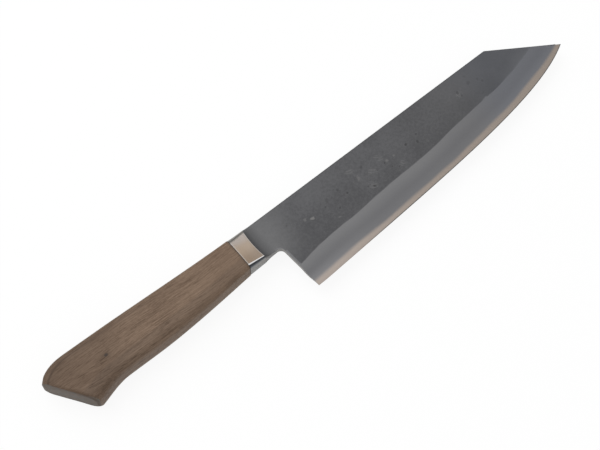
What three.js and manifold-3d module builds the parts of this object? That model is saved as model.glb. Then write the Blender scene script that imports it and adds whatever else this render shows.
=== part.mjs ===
// A kiritsuke gyuto lying on its left side: a forged three-layer blade with an
// angled tip, a steel bolster in two halves and a walnut handle on a hidden
// tang. Millimetres. While the pieces are drawn, x starts at the heel and runs
// to the tip, y starts at the spine and runs up, and z starts at the middle
// plane of the blade.

import * as THREE from "three";
import { mergeVertices } from "three/addons/utils/BufferGeometryUtils.js";
import Module from "manifold-3d";

const wasm = await Module();
wasm.setup();

// Blade, seen from its side
const BLADE_LENGTH = 190; // heel to tip
const HEEL_HEIGHT = 47; // spine to the corner of the heel
const TIP_CUT = 35; // angled cut at the tip, measured along the spine
const TIP_DROP = 22.8; // spine line down to the tip
const HEEL_SLOPE = 3.4; // degrees, rise of the edge at the heel
const HEEL_RUN = 90; // reach of that slope along the edge
const TIP_SLOPE = 29; // degrees, rise of the edge at the tip
const TIP_RUN = 35; // reach of that slope along the edge
const HEEL_LEAN = 1.4; // how far the rear of the heel leans back at its top
const CHOIL_RADIUS = 3; // hollow corner between the heel and the neck

// Blade, through its thickness
const SPINE_THICKNESS = 3.5; // at the heel
const SPINE_END_THICKNESS = 1.9; // where the spine meets the angled cut
const RIDGE_THICKNESS = 2.7; // above the heel, where the ground bevel begins
const BEVEL_WIDTH = 15.2; // ground bevel, measured square to the edge
const EDGE_LAND = 0.12; // flat left along the cutting edge
const CORE_THICKNESS = 0.8; // hard middle layer at the heel
const CORE_END_THICKNESS = 0.54; // the same where the spine ends

// Neck, bolster and tang
const NECK_LENGTH = 12.5; // heel back to the front edge of the bolster
const NECK_HEIGHT = 19.2; // the bolster is as high as the neck
const BOLSTER_LENGTH = 9.3;
const BOLSTER_FRONT_THICKNESS = 9.8;
const BOLSTER_REAR_THICKNESS = 12.8;
const BOLSTER_TOP_RADIUS = 3;
const BOLSTER_BELLY_RADIUS = 1.2;
const SCOOP_LENGTH = 7; // hollow that runs from the bolster down to the neck
const SCOOP_LIP = 0.2; // thickness left where the hollow meets the neck
const TANG_LENGTH = 88;
const TANG_HEIGHT = 12; // at the bolster
const TANG_END_HEIGHT = 7;
const TANG_END_THICKNESS = 2.4;

// Handle; its top and its butt are straight lines that meet in a round shoulder
const HANDLE_LENGTH = 120; // joint to the corner where those two lines cross
const HANDLE_RISE = 1.7; // degrees, the top rises towards the butt
const HANDLE_FRONT_THICKNESS = 13.2;
const HANDLE_THICKNESS = 16; // from the swell back to the butt
const WOOD_PROUD = 0.1; // step of the wood above and below the bolster
const TOP_RADIUS = 3;
const BELLY_FRONT_RADIUS = 2;
const BELLY_RADIUS = 4.5; // from the swell back to the butt
const BELLY_SLOPE = 5; // degrees, fall of the belly at the joint
const SWELL_BACK = 55; // joint to the deepest point of the belly
const SWELL_DEPTH = 23; // spine line down to that point
const WAIST_AHEAD = 20; // butt's lower corner forward to the waist
const WAIST_DEPTH = 22.5;
const HOOK_SLOPE = 16.7; // degrees, fall of the belly behind the waist
const HOOK_ROUND = 1.9; // rounding where the belly meets the butt
const BUTT_SLANT = 35.6; // degrees off square
const BUTT_LENGTH = 37.9; // along the slant, corner to corner
const SHOULDER_TOP = 19; // rounding of the upper corner, along the top
const SHOULDER_TOP_ARM = 4.3; // how far it keeps to the line of the top
const SHOULDER_BUTT = 9.7; // the same rounding, along the butt
const SHOULDER_BUTT_ARM = 4.5; // how far it turns in towards the butt
const SHOULDER_TURN = 16; // degrees, corner left between the shoulder and the butt
const BUTT_RADIUS = 2.8; // rim of the butt

// Joints between the pieces
const GLUE_LINE = 0.35; // bolster to wood
const GLUE_INSET = 0.15; // the glue line lies this far inside the bolster
const BED_THICKNESS = 1.2; // bedding round the tang
const BOND_GAP = 0.03; // left between bonded faces

// Fineness and reach of the shapes
const ARC_STEPS = 6;
const EDGE_STEPS = 36;
const GRIP_STEPS = 18;
const BUTT_STEPS = 24;
const HOOK_STEPS = 18; // of the butt's steps, those that run along the hook
const CUT_OVERRUN = 4; // how far the grind runs past the steel
const ROUND_SHARE = 0.9; // largest rounding, as a share of the thickness it is in

const spineEnd = BLADE_LENGTH - TIP_CUT;
const bolsterFront = -NECK_LENGTH;
const bolsterRear = bolsterFront - BOLSTER_LENGTH;
const woodFront = bolsterRear - GLUE_LINE;
const tangEnd = bolsterRear - TANG_LENGTH;
const tangMiddle = -NECK_HEIGHT / 2;

// Half the thickness of the forged blade at a place on its side
function faceHalf(x, y) {
  const forward = (SPINE_THICKNESS - SPINE_END_THICKNESS) / 2 / spineEnd;
  const upward = (SPINE_THICKNESS - RIDGE_THICKNESS) / 2 / (HEEL_HEIGHT - BEVEL_WIDTH);
  return SPINE_THICKNESS / 2 - forward * x + upward * y;
}

// A step of a given length on the side view, turned up from +X by degrees
function step(length, degrees) {
  const turn = THREE.MathUtils.degToRad(degrees);
  return new THREE.Vector2(length * Math.cos(turn), length * Math.sin(turn));
}

// Positions alone, with shared corners merged
function bare(geometry) {
  geometry.deleteAttribute("normal");
  geometry.deleteAttribute("uv");
  return mergeVertices(geometry);
}

function solid(geometry) {
  const { attributes, index } = bare(geometry);
  return new wasm.Manifold(
    new wasm.Mesh({
      numProp: 3,
      vertProperties: attributes.position.array,
      triVerts: Uint32Array.from(index.array),
    }),
  );
}

// The same shape on the other side of the blade's middle plane
function mirrored(geometry) {
  const copy = bare(geometry.clone()).scale(1, 1, -1);
  const corners = copy.index.array;
  for (let first = 0; first < corners.length; first += 3) {
    [corners[first + 1], corners[first + 2]] = [corners[first + 2], corners[first + 1]];
  }
  return copy;
}

function bothSides(geometry) {
  return solid(geometry).add(solid(mirrored(geometry)));
}

// Skins a row of matching rings, laid out along +X and turning from +Y to +Z,
// and closes both ends with flat fans
function loft(rings) {
  const count = rings[0].length;
  const last = (rings.length - 1) * count;
  const index = [];
  for (let start = 0; start < last; start += count) {
    for (let side = 0; side < count; side += 1) {
      const here = start + side;
      const next = start + ((side + 1) % count);
      index.push(here, next, next + count);
      index.push(here, next + count, here + count);
    }
  }
  for (let side = 1; side + 1 < count; side += 1) {
    index.push(0, side + 1, side);
    index.push(last, last + side, last + side + 1);
  }
  const geometry = new THREE.BufferGeometry().setFromPoints(rings.flat());
  geometry.setIndex(index);
  return geometry;
}

// A round corner of a section: v runs down from the section's top, z across it
function corner(v, z, radius, start) {
  return Array.from({ length: ARC_STEPS + 1 }, (_, at) => {
    const turn = start + ((at / ARC_STEPS) * Math.PI) / 2;
    return [v - radius * Math.cos(turn), z + radius * Math.sin(turn)];
  });
}

// Sets a section on the line from a point of the top to a point of the belly
function ringOn(top, belly, section) {
  const depth = top.distanceTo(belly);
  return section.map(([v, z]) => {
    const spot = top.clone().lerp(belly, v / depth);
    return new THREE.Vector3(spot.x, spot.y, z);
  });
}

// A section of the handle: a rectangle with round corners
function gripRing(top, belly, half, topRadius, bellyRadius) {
  const upper = Math.min(topRadius, half * ROUND_SHARE);
  const lower = Math.min(bellyRadius, half * ROUND_SHARE);
  const low = top.distanceTo(belly) - lower;
  return ringOn(top, belly, [
    ...corner(upper, half - upper, upper, 0),
    ...corner(low, half - lower, lower, Math.PI / 2),
    ...corner(low, lower - half, lower, Math.PI),
    ...corner(upper, upper - half, upper, 1.5 * Math.PI),
  ]);
}

// All that lies above a plane through two heights on the spine line; the plane
// is level from spine to edge unless it climbs with y
function blockAbove(x0, z0, x1, z1, climb = 0) {
  const along = new THREE.Vector3(x1 - x0, 0, z1 - z0).normalize();
  const normal = along.clone().cross(new THREE.Vector3(0, 1, climb)).normalize();
  const square = normal.clone().cross(along);
  const reach = BLADE_LENGTH + HANDLE_LENGTH;
  const block = new THREE.BoxGeometry(2 * reach, 2 * reach, reach);
  block.translate(0, 0, reach / 2);
  const frame = new THREE.Matrix4().makeBasis(along, square, normal);
  return block.applyMatrix4(frame.setPosition(x0, 0, z0));
}

// The cutting edge, from the heel to the tip
function edgeCurve() {
  const heel = new THREE.Vector2(0, -HEEL_HEIGHT);
  const tip = new THREE.Vector2(BLADE_LENGTH, -TIP_DROP);
  const heelArm = step(HEEL_RUN, HEEL_SLOPE).add(heel);
  const tipArm = tip.clone().sub(step(TIP_RUN, TIP_SLOPE));
  return new THREE.CubicBezierCurve(heel, heelArm, tipArm, tip);
}

// Outline of blade, neck and tang
function bladeShape(edge) {
  const tangRound = TANG_END_HEIGHT / 2;
  const choilTop = -NECK_HEIGHT - CHOIL_RADIUS;
  const shape = new THREE.Shape();
  shape.moveTo(bolsterRear, 0);
  shape.lineTo(bolsterRear, tangMiddle + TANG_HEIGHT / 2);
  shape.absarc(tangEnd + tangRound, tangMiddle, tangRound, Math.PI / 2, 1.5 * Math.PI, false);
  shape.lineTo(bolsterRear, tangMiddle - TANG_HEIGHT / 2);
  shape.lineTo(bolsterRear, -NECK_HEIGHT);
  shape.absarc(-HEEL_LEAN - CHOIL_RADIUS, choilTop, CHOIL_RADIUS, Math.PI / 2, 0, true);
  shape.lineTo(0, -HEEL_HEIGHT);
  shape.bezierCurveTo(edge.v1.x, edge.v1.y, edge.v2.x, edge.v2.y, edge.v3.x, edge.v3.y);
  shape.lineTo(spineEnd, 0);
  shape.closePath();
  return shape;
}

// A section of what the grindstone takes off one side: all that lies outside
// a straight line from the ridge down to the cutting edge
function grindRing(point, inward) {
  const at = (distance) => inward.clone().multiplyScalar(distance).add(point);
  const ridge = at(BEVEL_WIDTH);
  const ridgeHalf = faceHalf(ridge.x, ridge.y);
  const climb = ((ridgeHalf - EDGE_LAND / 2) / BEVEL_WIDTH) * CUT_OVERRUN;
  const high = at(BEVEL_WIDTH + CUT_OVERRUN);
  const low = at(-CUT_OVERRUN);
  return [
    new THREE.Vector3(high.x, high.y, ridgeHalf + climb),
    new THREE.Vector3(high.x, high.y, BEVEL_WIDTH),
    new THREE.Vector3(low.x, low.y, BEVEL_WIDTH),
    new THREE.Vector3(low.x, low.y, EDGE_LAND / 2 - climb),
  ];
}

// The whole cut along the edge, run on past the heel and the tip
function grindCut(edge) {
  const rings = [];
  for (let at = 0; at <= EDGE_STEPS; at += 1) {
    const point = edge.getPoint(at / EDGE_STEPS);
    const tangent = edge.getTangent(at / EDGE_STEPS);
    const inward = new THREE.Vector2(-tangent.y, tangent.x);
    const past = tangent.multiplyScalar(CUT_OVERRUN);
    if (at === 0) rings.push(grindRing(point.clone().sub(past), inward));
    rings.push(grindRing(point, inward));
    if (at === EDGE_STEPS) rings.push(grindRing(point.clone().add(past), inward));
  }
  return loft(rings);
}

// The forged and ground blade before its three layers are told apart
function groundBlade() {
  const edge = edgeCurve();
  const slab = new THREE.ExtrudeGeometry(bladeShape(edge), {
    depth: 2 * SPINE_THICKNESS,
    bevelEnabled: false,
    curveSegments: EDGE_STEPS,
  });
  slab.translate(0, 0, -SPINE_THICKNESS);
  const climb = faceHalf(0, 1) - faceHalf(0, 0);
  const faces = blockAbove(0, faceHalf(0, 0), spineEnd, faceHalf(spineEnd, 0), climb);
  const tangFaces = blockAbove(tangEnd, TANG_END_THICKNESS / 2, bolsterRear, faceHalf(bolsterRear, 0));
  return solid(slab)
    .subtract(bothSides(faces))
    .subtract(bothSides(tangFaces))
    .subtract(bothSides(grindCut(edge)));
}

// All that lies above the core, a gap away from it
function aboveCore(gap) {
  return blockAbove(0, CORE_THICKNESS / 2 + gap, spineEnd, CORE_END_THICKNESS / 2 + gap);
}

// A half of the bolster: it tapers forward and then runs down to the neck in a
// hollow arc, and its long outer edges are round
function bolsterHalf() {
  const scoopEnd = bolsterFront + SCOOP_LENGTH;
  const lip = faceHalf(scoopEnd, 0) + BOND_GAP + SCOOP_LIP;
  const drop = BOLSTER_FRONT_THICKNESS / 2 - lip;
  const scoopRadius = (SCOOP_LENGTH ** 2 + drop ** 2) / 2 / drop;
  const ring = (x, half) => {
    const topInner = faceHalf(x, 0) + BOND_GAP;
    const bellyInner = faceHalf(x, -NECK_HEIGHT) + BOND_GAP;
    const topRadius = Math.min(BOLSTER_TOP_RADIUS, (half - topInner) * ROUND_SHARE);
    const bellyRadius = Math.min(BOLSTER_BELLY_RADIUS, (half - bellyInner) * ROUND_SHARE);
    return ringOn(new THREE.Vector2(x, 0), new THREE.Vector2(x, -NECK_HEIGHT), [
      [0, topInner],
      ...corner(topRadius, half - topRadius, topRadius, 0),
      ...corner(NECK_HEIGHT - bellyRadius, half - bellyRadius, bellyRadius, Math.PI / 2),
      [NECK_HEIGHT, bellyInner],
    ]);
  };
  const rings = [ring(bolsterRear, BOLSTER_REAR_THICKNESS / 2)];
  for (let at = 0; at <= ARC_STEPS; at += 1) {
    const left = SCOOP_LENGTH * (1 - at / ARC_STEPS);
    rings.push(ring(scoopEnd - left, lip + scoopRadius - Math.sqrt(scoopRadius ** 2 - left ** 2)));
  }
  return loft(rings);
}

// A smooth curve whose arms reach a third of the way, in the two ways given
function bellyCurve(start, startWay, end, endWay) {
  const arm = Math.abs(end.x - start.x) / 3;
  const startArm = step(arm, startWay).add(start);
  const endArm = step(arm, endWay).add(end);
  return new THREE.CubicBezierCurve(start, startArm, endArm, end);
}

// The lines of the handle's side view, from the joint back to the butt
function gripLines() {
  const topFront = new THREE.Vector2(woodFront, WOOD_PROUD);
  const upperCorner = step(HANDLE_LENGTH, 180 - HANDLE_RISE).add(topFront);
  const lowerCorner = step(BUTT_LENGTH, BUTT_SLANT - 90).add(upperCorner);
  const shoulderStart = step(SHOULDER_TOP, -HANDLE_RISE).add(upperCorner);
  const shoulderStartArm = step(SHOULDER_TOP_ARM, 180 - HANDLE_RISE).add(shoulderStart);
  const shoulderEnd = step(SHOULDER_BUTT, BUTT_SLANT - 90).add(upperCorner);
  const shoulderEndArm = step(SHOULDER_BUTT_ARM, BUTT_SLANT + 90 - SHOULDER_TURN).add(shoulderEnd);
  const hookEnd = step(HOOK_ROUND, HOOK_SLOPE).add(lowerCorner);
  const buttEnd = step(HOOK_ROUND, BUTT_SLANT + 90).add(lowerCorner);
  const bellyFront = new THREE.Vector2(woodFront, -NECK_HEIGHT - WOOD_PROUD);
  const swell = new THREE.Vector2(woodFront - SWELL_BACK, -SWELL_DEPTH);
  const waist = new THREE.Vector2(lowerCorner.x + WAIST_AHEAD, -WAIST_DEPTH);
  return {
    upperCorner,
    top: new THREE.LineCurve(topFront, shoulderStart),
    shoulder: new THREE.CubicBezierCurve(shoulderStart, shoulderStartArm, shoulderEndArm, shoulderEnd),
    swell: bellyCurve(bellyFront, 180 + BELLY_SLOPE, swell, 0),
    waist: bellyCurve(swell, 180, waist, 0),
    hook: bellyCurve(waist, 180, hookEnd, HOOK_SLOPE),
    heel: new THREE.QuadraticBezierCurve(hookEnd, lowerCorner, buttEnd),
    toSwell: (bellyFront.x - swell.x) / (bellyFront.x - waist.x),
  };
}

// The wooden handle, built from the joint back and then skinned from its butt
function handleBlock() {
  const lines = gripLines();
  const rings = [];
  for (let at = 0; at <= GRIP_STEPS; at += 1) {
    const back = at / GRIP_STEPS;
    const past = (back - lines.toSwell) / (1 - lines.toSwell);
    const belly = past < 0 ? lines.swell.getPoint(back / lines.toSwell) : lines.waist.getPoint(past);
    const ease = Math.sin((Math.min(1, back / lines.toSwell) * Math.PI) / 2);
    const half = THREE.MathUtils.lerp(HANDLE_FRONT_THICKNESS, HANDLE_THICKNESS, ease) / 2;
    const bellyRadius = THREE.MathUtils.lerp(BELLY_FRONT_RADIUS, BELLY_RADIUS, ease);
    rings.push(gripRing(lines.top.getPoint(back), belly, half, TOP_RADIUS, bellyRadius));
  }
  for (let at = 1; at <= BUTT_STEPS; at += 1) {
    const past = (at - HOOK_STEPS) / (BUTT_STEPS - HOOK_STEPS);
    const top = lines.shoulder.getPoint(at / BUTT_STEPS);
    const belly = past < 0 ? lines.hook.getPoint(at / HOOK_STEPS) : lines.heel.getPoint(past);
    const middle = top.clone().lerp(belly, 0.5).sub(lines.upperCorner);
    const inside = middle.dot(step(1, BUTT_SLANT));
    const short = Math.min(BUTT_RADIUS, Math.max(0, BUTT_RADIUS - inside));
    const rim = BUTT_RADIUS - Math.sqrt(BUTT_RADIUS ** 2 - short ** 2);
    rings.push(gripRing(top, belly, HANDLE_THICKNESS / 2 - rim, TOP_RADIUS, BELLY_RADIUS));
  }
  return loft(rings.reverse());
}

// A block round the tang, larger than it by the same amount all over
function roundTang(larger, front) {
  const ring = (x, height, thickness) => {
    const top = new THREE.Vector2(x, tangMiddle + height / 2 + larger);
    const belly = new THREE.Vector2(x, tangMiddle - height / 2 - larger);
    const half = thickness / 2 + larger;
    const depth = height + 2 * larger;
    return ringOn(top, belly, [
      [0, -half],
      [0, half],
      [depth, half],
      [depth, -half],
    ]);
  };
  return loft([
    ring(tangEnd - larger, TANG_END_HEIGHT, TANG_END_THICKNESS),
    ring(front, TANG_HEIGHT, 2 * faceHalf(bolsterRear, 0)),
  ]);
}

// Glue that fills the mortise round the tang and the joint before the wood
function tangBedding() {
  const film = [woodFront + BOND_GAP, bolsterRear - BOND_GAP].map((x) => {
    const top = new THREE.Vector2(x, -GLUE_INSET);
    const belly = new THREE.Vector2(x, GLUE_INSET - NECK_HEIGHT);
    const half = BOLSTER_REAR_THICKNESS / 2 - GLUE_INSET;
    return gripRing(top, belly, half, BOLSTER_TOP_RADIUS, BOLSTER_BELLY_RADIUS);
  });
  return solid(loft(film))
    .add(solid(roundTang(BED_THICKNESS - BOND_GAP, bolsterRear - BOND_GAP)))
    .subtract(solid(roundTang(BOND_GAP, bolsterRear)));
}

const blade = groundBlade();
const bolster = bolsterHalf();
const mortise = solid(roundTang(BED_THICKNESS, bolsterRear));

const polished = { color: 0xa3978d, roughness: 0.25, metalness: 1 };
const forged = { color: 0x5b5b5d, roughness: 0.55, metalness: 0.75 };
const satin = { color: 0xa89b8d, roughness: 0.3, metalness: 1 };
const walnut = { color: 0x7a6658, roughness: 0.6, metalness: 0 };
const glue = { color: 0x2b2724, roughness: 0.5, metalness: 0 };

const pieces = [
  ["core_steel", blade.subtract(bothSides(aboveCore(0))), polished],
  ["cladding_right", blade.intersect(solid(aboveCore(BOND_GAP))), forged],
  ["cladding_left", blade.intersect(solid(mirrored(aboveCore(BOND_GAP)))), forged],
  ["bolster_right", solid(bolster), satin],
  ["bolster_left", solid(mirrored(bolster)), satin],
  ["handle", solid(handleBlock()).subtract(mortise), walnut],
  ["tang_bedding", tangBedding(), glue],
];

const knife = new THREE.Group();
for (const [name, body, look] of pieces) {
  const { vertProperties, triVerts } = body.getMesh();
  const geometry = new THREE.BufferGeometry();
  geometry.setAttribute("position", new THREE.BufferAttribute(vertProperties, 3));
  geometry.setIndex(new THREE.BufferAttribute(triVerts, 1));
  const mesh = new THREE.Mesh(geometry, new THREE.MeshStandardMaterial(look));
  mesh.name = name;
  knife.add(mesh);
}

// The knife rests on z = 0, with the middle of its outline over the origin
const outline = new THREE.Box3().setFromObject(knife);
const middle = outline.getCenter(new THREE.Vector3());
for (const mesh of knife.children) mesh.position.set(-middle.x, -middle.y, -outline.min.z);

export default knife;
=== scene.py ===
"""Dresses the frame of a kiritsuke gyuto: forged blade, steel bolster, walnut handle.

Pieces are drawn on the knife's own lines and then set on the frame. On those
lines x runs from the heel to the tip, y runs up and is 0 along the spine, and z
runs out from the middle plane of the blade.
"""

import math
import random
from functools import partial

import bmesh
import bpy
from bpy.props import FloatProperty, FloatVectorProperty, IntProperty, PointerProperty
from mathutils import Color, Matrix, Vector, noise
from mathutils.kdtree import KDTree


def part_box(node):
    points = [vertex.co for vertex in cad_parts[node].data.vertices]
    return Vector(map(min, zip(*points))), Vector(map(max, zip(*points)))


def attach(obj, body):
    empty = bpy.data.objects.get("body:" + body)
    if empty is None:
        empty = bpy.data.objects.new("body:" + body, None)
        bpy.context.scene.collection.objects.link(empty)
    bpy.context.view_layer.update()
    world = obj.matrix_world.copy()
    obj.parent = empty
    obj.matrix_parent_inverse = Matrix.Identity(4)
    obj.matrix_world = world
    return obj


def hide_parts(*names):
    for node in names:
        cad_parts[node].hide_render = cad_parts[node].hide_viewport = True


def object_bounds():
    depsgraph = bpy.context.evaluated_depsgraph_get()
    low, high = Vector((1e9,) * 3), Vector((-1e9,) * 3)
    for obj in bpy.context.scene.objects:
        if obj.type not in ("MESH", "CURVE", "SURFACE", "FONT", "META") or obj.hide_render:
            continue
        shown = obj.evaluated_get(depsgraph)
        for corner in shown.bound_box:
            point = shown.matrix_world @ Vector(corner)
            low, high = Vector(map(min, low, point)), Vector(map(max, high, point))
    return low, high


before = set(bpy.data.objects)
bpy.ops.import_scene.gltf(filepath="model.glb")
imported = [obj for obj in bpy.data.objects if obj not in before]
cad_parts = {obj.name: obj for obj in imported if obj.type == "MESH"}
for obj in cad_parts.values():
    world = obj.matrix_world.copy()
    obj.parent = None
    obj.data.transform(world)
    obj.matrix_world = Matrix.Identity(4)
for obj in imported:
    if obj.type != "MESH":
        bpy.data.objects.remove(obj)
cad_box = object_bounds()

bl_info = {
    "name": "Kiritsuke Gyuto Knife",
    "version": (1, 0, 0),
    "blender": (4, 5, 0),
    "location": "3D View > Sidebar > Knife",
    "description": "Forged laminated blade, steel bolster and walnut handle on the knife's frame",
    "category": "Object",
}

MM = 0.001
WELD = 0.001 * MM  # vertices nearer to each other than this are joined
WHITE = Color((1, 1, 1))
core_low, core_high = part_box("core_steel")

# Measured square to the cutting edge, in millimetres, at equal steps from heel to tip
BEVEL_WIDTHS = (
    14.2, 15.2, 15.8, 15.8, 15.4, 15.7, 15.8, 15.8, 15.4, 15.2,
    15.3, 15.9, 15.8, 15.7, 15.1, 14.6, 14.4, 14.3, 14.1, 13.9,
)
STRIP_WIDTHS = (
    3.1, 3.2, 3.3, 3.5, 3.1, 2.7, 2.9, 2.9, 2.8, 2.9,
    2.7, 3.2, 3.3, 3.5, 3.3, 3.5, 3.9, 3.6, 3.1, 2.5,
)

# Distances that the blade's finishes follow, square to the edge
DISTANCES = ("from_edge", "from_bond", "from_ridge")

# Forge marks on the right side: x, y, half length, half width, turn in degrees,
# depth in hundredths, and how far the scale has flaked off
FORGE_MARKS = (
    (20.4, -17.1, 2, 1.4, -15, 3, 0.9), (16.9, -15.2, 1.7, 1.4, 60, 2, 0.55),
    (53.3, -14.6, 2.7, 1.6, 70, 2, 0.5), (71.3, -16.3, 1.5, 1.3, 0, 2, 0.6),
    (76, -16.2, 1.3, 1.1, 0, 1, 0.45), (31.8, -25.2, 1.4, 1, 0, 2, 0.5),
    (95.5, -20.5, 2.3, 1.6, 80, 1, 0.3), (32.7, -13.9, 1.9, 1.5, 80, 5, 0),
    (29.8, -16.4, 0.68, 0.61, 0, 10, 0), (40.8, -13, 1.6, 1, 80, 6, 0),
    (43.6, -17.4, 0.82, 0.75, 0, 13, 0), (35.2, -21.4, 0.88, 0.75, 0, 10, 0),
    (54.3, -21.4, 0.68, 0.61, 0, 7, 0), (57.1, -23.3, 1.2, 0.82, -30, 12, 0),
    (58.7, -10.8, 1.6, 1.1, 70, 6, 0), (63.9, -17.4, 0.68, 0.61, 0, 7, 0),
    (69.6, -16.6, 0.75, 0.68, 0, 10, 0), (71.4, -20.6, 0.61, 0.61, 0, 8, 0),
    (74.3, -23, 0.68, 0.61, 0, 7, 0), (85.2, -15.5, 1.2, 0.88, 20, 13, 0),
    (91.1, -18, 1.4, 1, 70, 9, 0), (93.3, -14.3, 1, 0.61, 45, 7, 0),
    (7.7, -12, 0.68, 0.61, 0, 5, 0), (126.7, -9.8, 1.3, 1.1, 80, 8, 0),
    (127.3, -12.6, 0.61, 0.55, 0, 7, 0), (135, -9, 1.9, 1.5, 20, 4, 0),
    (140.6, -10.2, 1.2, 0.94, 60, 4, 0), (141.9, -12.7, 1.2, 0.94, 60, 4, 0),
    (137.5, -18.3, 1.5, 0.85, 30, 2, 0), (116.5, -18.6, 1.7, 1.1, 20, 2, 0),
    (28, -23.3, 2.5, 0.85, 0, 2, 0),
)

# Fine curved lines beside a hammer mark: x, y, half length, half width, turn in degrees
RIPPLES = (
    (51.8, -8.4, 3.2, 2.2, -45), (61.4, -16.2, 3.2, 2.0, -38), (56.6, -22.4, 3.6, 2.4, -42),
    (68.8, -12.4, 3.2, 2.0, -45), (76.3, -22.2, 2.6, 1.8, -20), (126.4, -11.0, 2.8, 2.4, -20),
)
RIPPLE_LEVEL, RIPPLE_REACH = 1.3, 1.5  # how far out they lie, and how far they reach from there

# A dark patch low at the front of the handle: place from the knot, and half lengths
SMEAR_PLACE, SMEAR_LENGTHS = Vector((72, -8, 6.5)), (6.5, 1.7, 9)

# Waves of the forged face, broad ones first: length, width and a shift of the pattern
FORGE_WAVES = ((11, 8, 0.0), (4.5, 4, 3.7), (1.7, 1.7, 9.1))

# Steps of the handle's sections: upper rounding, side and lower rounding, and across top and belly
SIDE_STEPS = (8, 12, 10)
CROSS_STEPS = 3


# Small tools


def size(description, millimetres):
    return partial(
        FloatProperty, description=description, default=millimetres * MM,
        min=0.0, precision=5, unit="LENGTH",
    )


def turn(description, degrees):
    return partial(
        FloatProperty, description=description, default=math.radians(degrees), subtype="ANGLE",
    )


def colour(description, red, green, blue):
    seen = Color((red / 255, green / 255, blue / 255))
    return partial(
        FloatVectorProperty, description=description, default=seen.from_srgb_to_scene_linear(),
        min=0.0, max=1.0, size=3, subtype="COLOR",
    )


def named(group):
    """Makes the properties of a group, each named after its field."""
    fields = group.__annotations__
    for field, make in fields.items():
        fields[field] = make(name=field.replace("_", " ").capitalize())
    return group


def mix(first, second, share):
    return first + (second - first) * share


def clamp(share):
    return min(1.0, max(0.0, share))


def ease(share):
    share = clamp(share)
    return share * share * (3 - 2 * share)


def shares(count, first=0):
    """Equal steps from 0 to 1, beginning with the first that is wanted."""
    return [at / count for at in range(first, count + 1)]


def heading(length, angle):
    return Vector((math.cos(angle), math.sin(angle))) * length


def narrowed(knots, share, left):
    """The knots of a curve, mixed until so many are left."""
    while len(knots) > left:
        knots = [mix(a, b, share) for a, b in zip(knots, knots[1:])]
    return knots


def bezier(knots, share):
    return narrowed(knots, share, 1)[0]


def along(values, share):
    """A value from a table of equal steps, on a smooth curve through them."""
    place = clamp(share) * (len(values) - 1)
    first = min(int(place), len(values) - 2)
    here, there = values[first], values[first + 1]
    before, after = values[max(first - 1, 0)], values[min(first + 2, len(values) - 1)]
    knots = here, here + (there - before) / 6, there - (after - here) / 6, there
    return bezier(knots, place - first)


def crossing(gap, low=0.5, high=1.0):
    """The place between low and high where gap falls to nothing."""
    for _ in range(48):
        middle = (low + high) / 2
        if gap(middle) > 0:
            low = middle
        else:
            high = middle
    return high


# Sizes and colours


@named
class BladeSizes(bpy.types.PropertyGroup):
    """Sizes of the blade, its neck and its tang."""

    length: size("Heel to tip", 190)
    heel_height: size("Spine to heel corner", (core_high.y - core_low.y) / MM)
    tip_cut: size("Angled cut at the tip, along the spine", 35.4)
    tip_drop: size("Spine line down to the tip", 22.8)
    spine_rise: size("Slight rise of the spine towards the cut", 0.16)
    heel_slope: turn("Rise of the edge at the heel", 3.4)
    heel_run: size("Reach of that slope along the edge", 90)
    tip_slope: turn("Rise of the edge at the tip", 29)
    tip_run: size("Reach of that slope along the edge", 35)
    choil_radius: size("Hollow corner between heel and neck", 3)
    heel_bow: size("Bulge of the rear of the heel", 0.3)
    heel_worn: size("Wear at the corner of the heel", 0.25)
    spine_thickness: size("At the heel", 3.5)
    spine_end_thickness: size("Where the spine meets the cut", 1.9)
    ridge_thickness: size("Above the heel, where the bevel begins", 2.7)
    ridge_drop: size("Spine line down to the ridge above the heel", 31.8)
    edge_thickness: size("Left at the cutting edge", 0.04)
    hone_width: size("Fine second bevel along the edge", 0.35)
    bond: size("Left between the layers", 0.03)
    neck_height: size("Spine to the lower line of the neck", 19.2)
    tang_length: size("Behind the bolster", 88.3)
    tang_height: size("At the bolster", 12)
    tang_end_height: size("At its round end", 7)
    tang_end_thickness: size("At its round end", 2.4)
    hammer_depth: size("Waves that the forging left in the face", 0.045)
    grit_depth: size("Fine roughness of the forged face", 0.012)
    pit_count: partial(IntProperty, description="Scattered on each face", default=45, min=0)


@named
class BolsterSizes(bpy.types.PropertyGroup):
    """Sizes of the bolster and of the glue behind it."""

    setback: size("Heel back to the front edge of the bolster", 11.9)
    length: size("Front edge to the joint with the wood", 9.6)
    front_thickness: size("At the front edge", 9.8)
    rear_thickness: size("At the joint with the wood", 12.8)
    crown: size("Bulge of the sides between top and belly", 0.4)
    front_bow: size("Hollow of the front edge between top and belly", 0.9)
    top_radius: size("Rounding of the upper edges", 3.3)
    belly_front_radius: size("Lower edges, at the front", 1.1)
    belly_radius: size("Lower edges, at the joint with the wood", 1.9)
    scoop_length: size("Hollow that runs down to the neck", 6.5)
    scoop_lip: size("Left where the hollow meets the neck", 0.03)
    arris: size("Broken edge between flat and hollow", 0.16)
    glue_line: size("Between bolster and wood", 0.35)
    glue_inset: size("How far the glue lies under the bolster's skin", 0.15)
    bed_thickness: size("Glue round the tang", 1.2)


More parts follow.
